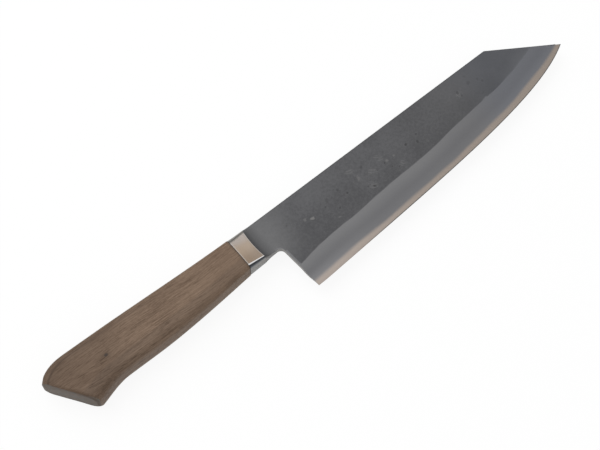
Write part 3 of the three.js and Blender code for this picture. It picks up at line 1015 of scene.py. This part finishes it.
class BladeNet:
    """Columns and rows that cover one side of the blade from the edge to the spine.

    The rows lie in four bands: strip, bevel, face up to the choil and face above it.
    """

    neck_spacing = 0.8 * MM

    def __init__(self, lines, spacing, bands):
        self.lines = lines
        self.neck = lines.neck_columns(max(spacing, self.neck_spacing))
        self.shares = lines.stations(spacing, 1.0 if bands[0] else lines.end_of(STRIP_WIDTHS))
        self.columns = len(self.neck) + len(self.shares) - 1
        self.rows = [sum(bands[:count]) for count in range(len(bands) + 1)]
        ridge = lines.width(BEVEL_WIDTHS, 0.0)
        self.low_share = (lines.choil()[0] - ridge) / (lines.reach(0.0) - ridge)
        self.facts = [self.column(share) for share in self.shares]

    def column(self, share):
        """Foot of a column, its way, the ends of its bands, and half the core there."""
        lines = self.lines
        point, inward = lines.edge(share)
        reach = lines.reach(share)
        strip, ridge = (
            min(reach, lines.width(table, share)) for table in (STRIP_WIDTHS, BEVEL_WIDTHS)
        )
        stops = [0.0, strip, ridge, mix(ridge, reach, self.low_share), reach]
        return point, inward, stops, lines.core_half(share)

    def at(self, column, row):
        """Place in the side view, half of core and blade, distances from edge, bond, ridge, rim."""
        ahead = column - len(self.neck)
        return self.on_neck(column, row) if ahead < 0 else self.on_blade(ahead, row)

    def on_neck(self, column, row):
        lines = self.lines
        first, last = self.rows[3:]
        if row < first:
            return None
        low, high = self.neck[column]
        share = (row - first) / (last - first)
        place = mix(low, high, share)
        rim = min(share, 1 - share) * (high - low).length
        far = lines.sizes.heel_height
        return place, lines.core_half(0.0), lines.face_half(*place), (far, far / 2, far / 2, rim)

    def on_blade(self, column, row):
        lines, rows = self.lines, self.rows
        point, inward, stops, core = self.facts[column]
        ahead = (point - self.facts[0][0]).length
        band = next(b for b in range(4) if row <= rows[b + 1] and rows[b + 1] > rows[b])
        steps = rows[band + 1] - rows[band]
        if row == 0 and band == 0:
            distance = 0.0
        elif band == 0:
            hone = min(lines.sizes.hone_width, stops[1])
            distance = mix(hone, stops[1], (row - 1) / (steps - 1))
        else:
            distance = mix(stops[band], stops[band + 1], (row - rows[band]) / steps)
        place = point + inward * distance + lines.heel_wear(ahead, distance)
        rim = stops[4] - distance
        if row <= rows[3]:
            rim = min(rim, ahead)
        if band <= 1:
            half = lines.bevel_half(self.shares[column], distance)
        else:
            half = lines.face_half(*place)
        return place, core, half, (distance, distance - stops[1], distance - stops[2], rim)


def forge_lift(place, sizes, seed):
    """Height of the forged face above a flat one."""
    waves, ripple, grit = (
        noise.noise(Vector((place.x / (length * MM), place.y / (width * MM), seed + shift)))
        for length, width, shift in FORGE_WAVES
    )
    return sizes.hammer_depth * (waves + 0.4 * ripple) + sizes.grit_depth * grit


def search_tree(places):
    """Finds places near a point in the side view."""
    tree = KDTree(len(places))
    for number, place in enumerate(places):
        tree.insert((place.x, place.y, 0.0), number)
    tree.balance()
    return tree


def refine_marks(mesh, marks):
    """Divides the faces round the larger marks, so that these come out crisp."""
    faces = list(mesh.faces)
    tree = search_tree([face.calc_center_median() for face in faces])
    edges = {}
    for x, y, length, *_ in marks:
        for _, number, _ in tree.find_range((x * MM, y * MM, 0.0), 1.5 * length * MM):
            edges.update(dict.fromkeys(faces[number].edges))
    bmesh.ops.subdivide_edges(mesh, edges=list(edges), cuts=2, use_grid_fill=True)


def strike_marks(mesh, marks, pit_shade, flake_and_highlight):
    """Sinks pits into the forged face with painted shade in each, notes where scale has flaked, and
    paints a highlight on one side of each pit's rim.
    """
    verts = list(mesh.verts)
    tree = search_tree([vertex.co for vertex in verts])
    for x, y, length, width, angle, depth, flake in marks:
        turned = heading(1.0, math.radians(angle))
        for spot, number, _ in tree.find_range((x * MM, y * MM, 0.0), 1.6 * length * MM):
            ahead, above = spot.x / MM - x, spot.y / MM - y
            long_way = (ahead * turned.x + above * turned.y) / length
            short_way = (above * turned.x - ahead * turned.y) / width
            ragged = 0.3 * noise.noise(spot / (0.9 * MM))
            out = math.hypot(long_way, short_way) + ragged
            share = ease((1 - out) / 0.8)
            # painted highlight on the rim of each pit, stronger on one side, kept with the flaked
            # scale
            lit = (0.55 - 0.45 * ahead / length) * min(1.0, depth / 12)
            rim = max(0.0, 1 - abs(out - 1.1) / 0.4) * lit
            vertex = verts[number]
            vertex.co.z += depth * 0.01 * MM * (0.15 * max(0.0, rim) - share)
            # painted shade in the pit, deeper where the pit is deeper
            vertex[pit_shade] = max(vertex[pit_shade], min(1.0, share * depth / 9))
            vertex[flake_and_highlight] = max(vertex[flake_and_highlight], share * flake, 0.3 * rim)


def scattered_marks(seed, count):
    """Small shallow marks all over a face, in the same order of values as FORGE_MARKS."""
    draw = random.Random(seed)
    marks = []
    for _ in range(count):
        x = draw.uniform(6, 150)
        y = -draw.uniform(2, 26)
        length = draw.uniform(0.7, 1.3)
        marks.append((
            x, y, length, length * draw.uniform(0.6, 1.0), draw.uniform(-90, 90),
            draw.uniform(1.0, 3.5), draw.choice((0, 0, 0, 0.3)),
        ))
    return marks


class KNIFE_OT_core(bpy.types.Operator):
    """Hard middle layer of the blade, bright along the edge"""

    bl_idname = "knife.core"
    bl_label = "Blade Core"

    spacing = 1.0 * MM  # between columns
    bands = (7, 6, 8, 14)  # rows in each band of the net

    def execute(self, context):
        scene = context.scene
        shades = scene.knife_steel
        lines = BladeLines(scene.knife_blade, scene.knife_bolster)
        mesh = bmesh.new()
        net = BladeNet(lines, self.spacing, self.bands)
        lay_net(mesh, net, DISTANCES, lambda place, core, half, *_: min(core, half))
        for vertex in thicken(mesh, 1):
            vertex.co.z = -vertex.co.z
        materials = [finish(ground_steel, shades, lines.origin), finish(filed_steel, shades)]
        set_on_knife(mesh, "blade_core", lines.origin, materials, "core_steel")
        return {"FINISHED"}


class KNIFE_OT_cladding(bpy.types.Operator):
    """Soft outer layers of the blade, forged dark above and ground below"""

    bl_idname = "knife.cladding"
    bl_label = "Blade Cladding"

    spacing = 0.55 * MM  # between columns
    bands = (0, 16, 22, 46)  # rows in each band of the net
    rough_from = 2 * MM  # above the ridge, where the forged face has its full roughness

    def execute(self, context):
        scene = context.scene
        self.layer(scene, "blade_cladding_right", "cladding_right", 1, 5, list(FORGE_MARKS))
        self.layer(scene, "blade_cladding_left", "cladding_left", -1, 23, [])
        return {"FINISHED"}

    def layer(self, scene, name, node, side, seed, marks):
        """One outer layer of the blade: forged face, ground bevel, neck and tang."""
        sizes, shades = scene.knife_blade, scene.knife_steel
        lines = BladeLines(sizes, scene.knife_bolster)
        net = BladeNet(lines, self.spacing, self.bands)
        ridge = net.rows[2]

        def height(place, core, half, distances, row):
            if row > ridge:
                half += forge_lift(place, sizes, seed) * ease(distances[2] / self.rough_from)
            return half

        mesh = bmesh.new()
        floats = mesh.verts.layers.float
        pit_shade, flake_and_highlight = floats.new("pit_shade"), floats.new("flake_and_highlight")
        lay_net(mesh, net, (*DISTANCES, "from_rim", "core", "row"), height)
        refine_marks(mesh, marks)
        strike_marks(mesh, marks + scattered_marks(seed, sizes.pit_count), pit_shade, flake_and_highlight)
        row, core = floats["row"], floats["core"]
        for face in mesh.faces:
            face.material_index = int(max(vertex[row] for vertex in face.verts) <= ridge)
        for edge in mesh.edges:
            if all(vertex[row] == ridge for vertex in edge.verts):
                edge.smooth = False
        for vertex in thicken(mesh, 2):
            room = max(vertex.co.z - vertex[core], 0.0)
            vertex.co.z = vertex[core] + min(sizes.bond, room / 2)
        bmesh.ops.scale(mesh, vec=(1, 1, side), verts=mesh.verts)
        for key in ("core", "row"):
            floats.remove(floats[key])
        materials = [
            finish(forge_scale, shades, lines.origin),
            finish(ground_steel, shades, lines.origin),
            finish(filed_steel, shades),
        ]
        set_on_knife(mesh, name, lines.origin, materials, node)


def arc(down, across, radius, start, steps):
    """A round corner of a section, as how far down and how far across each point lies."""
    angles = [start + share * math.pi / 2 for share in shares(steps)]
    return [(down - radius * math.cos(a), across + radius * math.sin(a)) for a in angles]


def flat(first, second, steps):
    """Points between two corners of a section."""
    return [
        tuple(mix(a, b, share) for a, b in zip(first, second)) for share in shares(steps, 1)[:-1]
    ]


def crowned(section, depth, crown):
    """Draws the sides of a section in towards top and belly, so that they bulge between."""
    reach = max(abs(across) for _, across in section)
    return [
        (down, across * (1 - crown / reach * (2 * down / depth - 1) ** 2))
        for down, across in section
    ]


def side_section(depth, half, top, belly, crown, steps):
    """Right side of a section: the rounding at the top, the flat, and the rounding at the belly."""
    upper = arc(top, half - top, top, 0.0, steps[0])
    lower = arc(depth - belly, half - belly, belly, math.pi / 2, steps[2])
    return crowned(upper + flat(upper[-1], lower[0], steps[1]) + lower, depth, crown)


def grip_section(depth, half, top, belly, crown=0.0):
    """Whole section of the handle, down its right side and up its left."""
    right = side_section(depth, half, top, belly, crown, SIDE_STEPS)
    left = [(down, -across) for down, across in reversed(right)]
    under, over = flat(right[-1], left[0], CROSS_STEPS), flat(left[-1], right[0], CROSS_STEPS)
    return right + under + left + over


def ring_on(top, belly, section):
    """Sets a section on the line from a point of the top to a point of the belly."""
    depth = (belly - top).length
    return [
        (Vector((*mix(top, belly, down / depth), across)), down, depth - down)
        for down, across in section
    ]


class KNIFE_OT_bolster(bpy.types.Operator):
    """Two steel halves on the neck, each with a hollow that runs down to the blade"""

    bl_idname = "knife.bolster"
    bl_label = "Bolster"

    corner_steps = 12
    panel_rings = 8
    scoop_rings = 24
    room_share = 0.9  # how much of the wall the upper rounding may take
    arris_angle = math.radians(25)

    def execute(self, context):
        self.half(context.scene, "bolster_half_right", "bolster_right", 1)
        self.half(context.scene, "bolster_half_left", "bolster_left", -1)
        return {"FINISHED"}

    def half(self, scene, name, node, side):
        sizes, blade, shades = scene.knife_bolster, scene.knife_blade, scene.knife_steel
        lines = BladeLines(blade, sizes)
        height = blade.neck_height
        front = -sizes.setback
        end = front + sizes.scoop_length
        steps = self.corner_steps

        def inner(x, y):
            return lines.face_half(x, y) + blade.bond

        def closed(x, outer, hollow):
            """A ring with its inner wall on the neck."""
            top, belly = (
                (Vector((x, y, inner(x, y))), hollow, turned)
                for y, turned in ((0.0, -1.0), (-height, 2.0))
            )
            return [top, *outer, belly]

        def panel(share):
            """Outer points round the flat, from the joint at 0 to the front edge at 1."""
            half = mix(sizes.rear_thickness, sizes.front_thickness, share) / 2
            room = (half - sizes.crown - inner(front, 0.0)) * self.room_share
            top = min(sizes.top_radius, room)
            belly = mix(sizes.belly_radius, sizes.belly_front_radius, share)
            section = side_section(height, half, top, belly, sizes.crown, [steps] * 3)
            points = []
            for count, (down, across) in enumerate(section):
                bow = sizes.front_bow * (1 - (2 * down / height - 1) ** 2)
                place = Vector((mix(lines.joint, front - bow, share), -down, across))
                turned = min(0.0, count / steps - 1) + max(0.0, count / steps - 2)
                points.append((place, share - 1, turned))
            return points

        def scoop(share, edge):
            """The same points down the hollow, from the front edge at 0 to the neck at 1."""
            drop = sizes.front_thickness / 2 - inner(end, 0.0) - sizes.scoop_lip
            radius = (sizes.scoop_length**2 + drop**2) / 2 / drop
            left = sizes.scoop_length * (1 - share)
            above = (radius - math.sqrt(radius**2 - left**2)) / drop
            points = []
            for place, _, turned in edge:
                across = mix(inner(end, place.y) + sizes.scoop_lip, place.z, above)
                points.append((Vector((mix(place.x, end, share), place.y, across)), share, turned))
            return points

        rings = [
            closed(mix(lines.joint, front, share), panel(share), share - 1)
            for share in shares(self.panel_rings)
        ]
        edge = panel(1.0)
        rings += [
            closed(mix(front, end, share), scoop(share, edge), share)
            for share in shares(self.scoop_rings, 1)
        ]
        mesh = bmesh.new()
        draw_tube(mesh, rings, ("hollow", "turned"))
        hollow = mesh.verts.layers.float["hollow"]
        for face in mesh.faces:
            face.material_index = int(max(vertex[hollow] for vertex in face.verts) > 0.0)
        arris = [
            item for item in mesh.edges
            if item.calc_face_angle(0.0) > self.arris_angle
            and {face.material_index for face in item.link_faces} == {0, 1}
        ]
        bmesh.ops.bevel(
            mesh, geom=arris, offset=sizes.arris, offset_type="OFFSET", segments=2,
            profile=0.5, affect="EDGES", material=-1, clamp_overlap=True,
        )
        bmesh.ops.scale(mesh, vec=(1, 1, side), verts=mesh.verts)
        materials = [finish(satin_steel, shades, lines.origin), finish(shaded_hollow, shades)]
        set_on_knife(mesh, name, lines.origin, materials, node, crease=20)


class GripLines:
    """Side view of the handle, from the joint back to the butt."""

    def __init__(self, sizes, blade, bolster, joint):
        front = joint - bolster.glue_line
        top_front = Vector((front, sizes.proud))
        upper = top_front + heading(sizes.length, math.pi - sizes.rise)
        down = sizes.butt_slant - math.pi / 2
        lower = upper + heading(sizes.butt_length, down)
        shoulder = upper + heading(sizes.shoulder_top, -sizes.rise)
        shoulder_end = upper + heading(sizes.shoulder_butt, down)
        hook_end = lower + heading(sizes.hook_round, sizes.hook_slope)
        butt_end = lower + heading(sizes.hook_round, sizes.butt_slant + math.pi / 2)
        belly_front = Vector((front, -blade.neck_height - sizes.belly_proud))
        swell = Vector((front - sizes.swell_back, -sizes.swell_depth))
        waist = Vector((lower.x + sizes.waist_ahead, -sizes.waist_depth))
        sag = Vector((0.0, sizes.top_hollow))
        self.front = front
        self.upper = upper
        self.top = [
            top_front, mix(top_front, shoulder, 1 / 3) - sag,
            mix(top_front, shoulder, 2 / 3) + 0.4 * sag, shoulder,
        ]
        self.shoulder = [
            shoulder, shoulder + heading(sizes.shoulder_top_arm, math.pi - sizes.rise),
            shoulder_end - heading(sizes.shoulder_butt_arm, down - sizes.shoulder_turn),
            shoulder_end,
        ]
        self.swell = self.belly(belly_front, math.pi + sizes.belly_slope, swell, 0.0)
        self.waist = self.belly(swell, math.pi, waist, 0.0)
        self.hook = self.belly(waist, math.pi, hook_end, sizes.hook_slope)
        self.heel = [hook_end, lower, butt_end]
        self.to_swell = (belly_front.x - swell.x) / (belly_front.x - waist.x)

    @staticmethod
    def belly(start, start_way, end, end_way):
        arm = abs(end.x - start.x) / 3
        return [start, start + heading(arm, start_way), end + heading(arm, end_way), end]


def two_curves(first, second, change, share):
    """A point on two curves in a row, the second of which takes over at change."""
    past = (share - change) / (1 - change)
    return bezier(first, share / change) if past < 0 else bezier(second, past)


def shortfall(inside, radius):
    """How much of a rim's radius is missing at some depth under the butt."""
    return clamp(1 - inside / radius)


def rim_inset(inside, radius):
    """How far a rounded rim draws the sides in there."""
    return radius * (1 - math.sqrt(1 - shortfall(inside, radius) ** 2))


class KNIFE_OT_handle(bpy.types.Operator):
    """Walnut handle with a slanted butt and a mortise for the tang"""

    bl_idname = "knife.handle"
    bl_label = "Handle"

    grip_steps = 72
    butt_steps = 56
    hook_share = 0.75
    round_share = 0.95  # how much of the half thickness a rounding may take
    butt_facing = 0.74  # faces turned to the butt by more than this show end grain
    # Where the butt's rim is painted darker: the turn of the rim, how far the darkening spreads,
    # and its share at the top
    dark_turn = math.radians(48)
    worn_reach = math.radians(24)
    dark_top = 0.15

    def execute(self, context):
        scene = context.scene
        sizes, blade, bolster = scene.knife_handle, scene.knife_blade, scene.knife_bolster
        lines = BladeLines(blade, bolster)
        grip = GripLines(sizes, blade, bolster, lines.joint)
        larger = bolster.bed_thickness
        mortise = [
            tang_ring(lines, blade, x, larger) for x in (lines.tang_end - larger, grip.front)
        ]
        rings = mortise + self.grip(sizes, grip) + self.butt(sizes, grip)
        mesh = bmesh.new()
        draw_tube(mesh, rings, ("from_top", "from_belly", "darkened"))
        bmesh.ops.recalc_face_normals(mesh, faces=mesh.faces)
        butt_way = -heading(1.0, sizes.butt_slant).to_3d()
        for face in mesh.faces:
            face.material_index = int(face.normal.dot(butt_way) > self.butt_facing)
        knot = lines.origin + Vector((-sizes.knot_back, -sizes.knot_drop, 0.0))
        materials = [finish(paint, scene.knife_wood, knot) for paint in (walnut, walnut_end)]
        origin = lines.origin
        set_on_knife(mesh, "walnut_handle", origin, materials, "handle", crease=40)
        return {"FINISHED"}

    def grip(self, sizes, grip):
        """Rings from the joint back to the waist."""
        rings = []
        for back in shares(self.grip_steps):
            top = bezier(grip.top, back)
            belly = two_curves(grip.swell, grip.waist, grip.to_swell, back)
            behind = grip.front - mix(top, belly, 0.5).x
            full = ease(behind / sizes.full_back)
            half = mix(sizes.front_thickness, sizes.thickness, full) / 2
            swell = ease(behind / sizes.swell_back)
            radius = mix(sizes.belly_front_radius, sizes.belly_radius, swell)
            depth, crown = (belly - top).length, sizes.crown * (1 - full)
            section = grip_section(depth, half, sizes.top_radius, radius, crown)
            # the front end, by the joint, is painted darker
            darkened = 0.0 if back else 1.0
            rings.append([(*point, darkened) for point in ring_on(top, belly, section)])
        return rings

    def butt(self, sizes, grip):
        """Rings from the waist round the shoulder and the rim of the butt."""
        rings = []
        half = sizes.thickness / 2
        into_wood = heading(1.0, sizes.butt_slant)
        for share in shares(self.butt_steps, 1):
            back = 1 - (1 - share) ** 1.5
            top = bezier(grip.shoulder, back)
            belly = two_curves(grip.hook, grip.heel, self.hook_share, back)
            depth = (belly - top).length
            inside = (mix(top, belly, 0.5) - grip.upper).dot(into_wood)
            short = shortfall(inside, sizes.butt_radius)
            rim, corner, heel = (
                rim_inset(inside, radius)
                for radius in (sizes.butt_radius, sizes.corner_radius, sizes.heel_radius)
            )
            upper, lower = (
                min(mix(along_grip, at_butt, short), self.round_share * (half - rim))
                for along_grip, at_butt in (
                    (sizes.top_radius, sizes.butt_top_radius),
                    (sizes.belly_radius, sizes.butt_belly_radius),
                )
            )
            section = []
            for down, across in grip_section(depth, half, upper, lower):
                drawn = mix(corner, rim, ease(down / sizes.corner_reach))
                drawn = mix(heel, drawn, ease((depth - down) / sizes.heel_reach))
                section.append((down, across * (1 - drawn / half)))
            darkened = max(0.0, 1 - ((math.asin(short) - self.dark_turn) / self.worn_reach) ** 2)
            rings.append([
                (place, down, up, darkened * mix(self.dark_top, 1.0, down / (down + up)))
                for place, down, up in ring_on(top, belly, section)
            ])
        return rings


def tang_ring(lines, blade, x, larger, rounding=0.5 * MM):
    """A section round the tang, larger than it by the same amount all over."""
    behind = min(1.0, (lines.joint - x) / blade.tang_length)
    height = mix(blade.tang_height, blade.tang_end_height, behind) + 2 * larger
    front_half = lines.face_half(lines.joint, 0.0)
    half = mix(front_half, blade.tang_end_thickness / 2, behind) + larger
    top = Vector((x, lines.tang_middle + height / 2))
    belly = Vector((x, lines.tang_middle - height / 2))
    section = grip_section(height, half, rounding, rounding)
    return [(place, 0.0, 0.0, 0.0) for place, *_ in ring_on(top, belly, section)]


class KNIFE_OT_bedding(bpy.types.Operator):
    """Glue round the tang and in the joint between bolster and wood"""

    bl_idname = "knife.bedding"
    bl_label = "Tang Bedding"

    def execute(self, context):
        scene = context.scene
        blade, bolster = scene.knife_blade, scene.knife_bolster
        lines = BladeLines(blade, bolster)
        bond = blade.bond
        wood = lines.joint - bolster.glue_line + bond
        steel = lines.joint - bond
        larger = bolster.bed_thickness - bond

        def film(x):
            inset = bolster.glue_inset
            top, belly = Vector((x, -inset)), Vector((x, inset - blade.neck_height))
            section = grip_section(
                (belly - top).length, bolster.rear_thickness / 2 - inset,
                bolster.top_radius, bolster.belly_radius, bolster.crown,
            )
            return ring_on(top, belly, section)

        rings = [
            tang_ring(lines, blade, lines.tang_end - bond, bond),
            tang_ring(lines, blade, steel, bond),
            film(steel),
            film(wood),
            tang_ring(lines, blade, wood, larger),
            tang_ring(lines, blade, lines.tang_end - larger, larger),
        ]
        mesh = bmesh.new()
        draw_tube(mesh, rings)
        materials = [finish(joint_glue, scene.knife_wood)]
        set_on_knife(mesh, "joint_glue", lines.origin, materials, "tang_bedding")
        return {"FINISHED"}


# Stage


def pale_floor(nodes, settings):
    """White to the camera and in reflections, duller where it lights the knife from below."""
    camera, glossy, through = (
        nodes.add("ShaderNodeLightPath", out=f"Is {ray} Ray")
        for ray in ("Camera", "Glossy", "Transmission")
    )
    paint = nodes.add("ShaderNodeBsdfDiffuse", {"Color": settings.floor})
    white = nodes.add("ShaderNodeEmission", {"Color": WHITE, "Strength": 1.0})
    shown = nodes.add("ShaderNodeMixShader", {0: settings.floor_glow, 1: paint, 2: white})
    bounced = nodes.add("ShaderNodeBsdfDiffuse", {"Color": settings.floor_bounce})
    seen = camera + glossy + through
    surface = nodes.add("ShaderNodeMixShader", {0: seen, 1: bounced, 2: shown})
    nodes.add("ShaderNodeOutputMaterial", {"Surface": surface})


class KNIFE_OT_stage(bpy.types.Operator):
    """Pale floor, soft light and the camera"""

    bl_idname = "knife.stage"
    bl_label = "Stage"

    floor_reach = 4.0
    floor_drop = 0.1 * MM  # keeps the floor clear of the knife
    clip = (0.01, 50)  # nearest and farthest that the camera sees

    def execute(self, context):
        scene = context.scene
        settings = scene.knife_stage
        scene.view_settings.view_transform = "Standard"
        self.camera(scene, settings)
        self.light(scene, settings)
        mesh = bmesh.new()
        bmesh.ops.create_grid(mesh, x_segments=2, y_segments=2, size=self.floor_reach)
        level = cad_box[0].z - self.floor_drop
        bmesh.ops.translate(mesh, vec=(0, 0, level), verts=mesh.verts)
        floor = add_shape("floor", mesh, [finish(pale_floor, settings)])
        return {"FINISHED"}

    def camera(self, scene, settings):
        data = bpy.data.cameras.new("camera")
        data.lens = settings.lens
        data.clip_start, data.clip_end = self.clip
        flat_reach = math.cos(settings.elevation)
        back = Vector((
            math.sin(settings.azimuth) * flat_reach,
            -math.cos(settings.azimuth) * flat_reach,
            math.sin(settings.elevation),
        ))
        camera = add_object("camera", data)
        camera.location = Vector(settings.target) + back * settings.distance
        camera.rotation_euler = (-back).to_track_quat("-Z", "Y").to_euler()
        scene.camera = camera

    def light(self, scene, settings):
        world = bpy.data.worlds.new("studio")
        nodes = Nodes(world)
        up = nodes.part(nodes.add("ShaderNodeTexCoord", out="Generated"), "Z")
        level = nodes.blend(nodes.smooth(up, 0.0, 0.9), settings.sky_rim, settings.sky_top)
        sky = nodes.add("ShaderNodeBackground", {"Color": level})
        white = nodes.add("ShaderNodeBackground", {"Color": WHITE})
        seen = nodes.add("ShaderNodeLightPath", out="Is Camera Ray")
        surface = nodes.add("ShaderNodeMixShader", {0: seen, 1: sky, 2: white})
        nodes.add("ShaderNodeOutputWorld", {"Surface": surface})
        scene.world = world
        data = bpy.data.lights.new("softbox", "AREA")
        data.size = settings.box_width
        data.energy = settings.box_power
        softbox = add_object("softbox", data)
        softbox.location = settings.box_place
        softbox.rotation_euler = Vector(settings.box_place).to_track_quat("Z", "Y").to_euler()
        softbox.visible_camera = False


# Add-on


class KNIFE_PT_bench(bpy.types.Panel):
    """Lists the pieces of the knife and their sizes and colours"""

    bl_idname = "KNIFE_PT_bench"
    bl_label = "Knife"
    bl_space_type = "VIEW_3D"
    bl_region_type = "UI"
    bl_category = "Knife"

    def draw(self, context):
        for operator in OPERATORS:
            self.layout.operator(operator.bl_idname)
        for name, group in GROUPS.items():
            box = self.layout.box()
            box.label(text=group.__doc__)
            for field in group.__annotations__:
                box.prop(getattr(context.scene, name), field)


GROUPS = {
    "knife_blade": BladeSizes,
    "knife_bolster": BolsterSizes,
    "knife_handle": HandleSizes,
    "knife_steel": SteelColours,
    "knife_wood": WoodColours,
    "knife_stage": StageSettings,
}
OPERATORS = (
    KNIFE_OT_core, KNIFE_OT_cladding, KNIFE_OT_bolster,
    KNIFE_OT_bedding, KNIFE_OT_handle, KNIFE_OT_stage,
)
CLASSES = (*GROUPS.values(), *OPERATORS, KNIFE_PT_bench)


def register():
    for item in CLASSES:
        bpy.utils.register_class(item)
    for name, group in GROUPS.items():
        setattr(bpy.types.Scene, name, PointerProperty(type=group))


def unregister():
    for name in GROUPS:
        delattr(bpy.types.Scene, name)
    for item in reversed(CLASSES):
        bpy.utils.unregister_class(item)


def main():
    register()
    bpy.ops.knife.core()
    bpy.ops.knife.cladding()
    bpy.ops.knife.bolster()
    bpy.ops.knife.bedding()
    bpy.ops.knife.handle()
    bpy.ops.knife.stage()


if __name__ == "__main__":
    main()
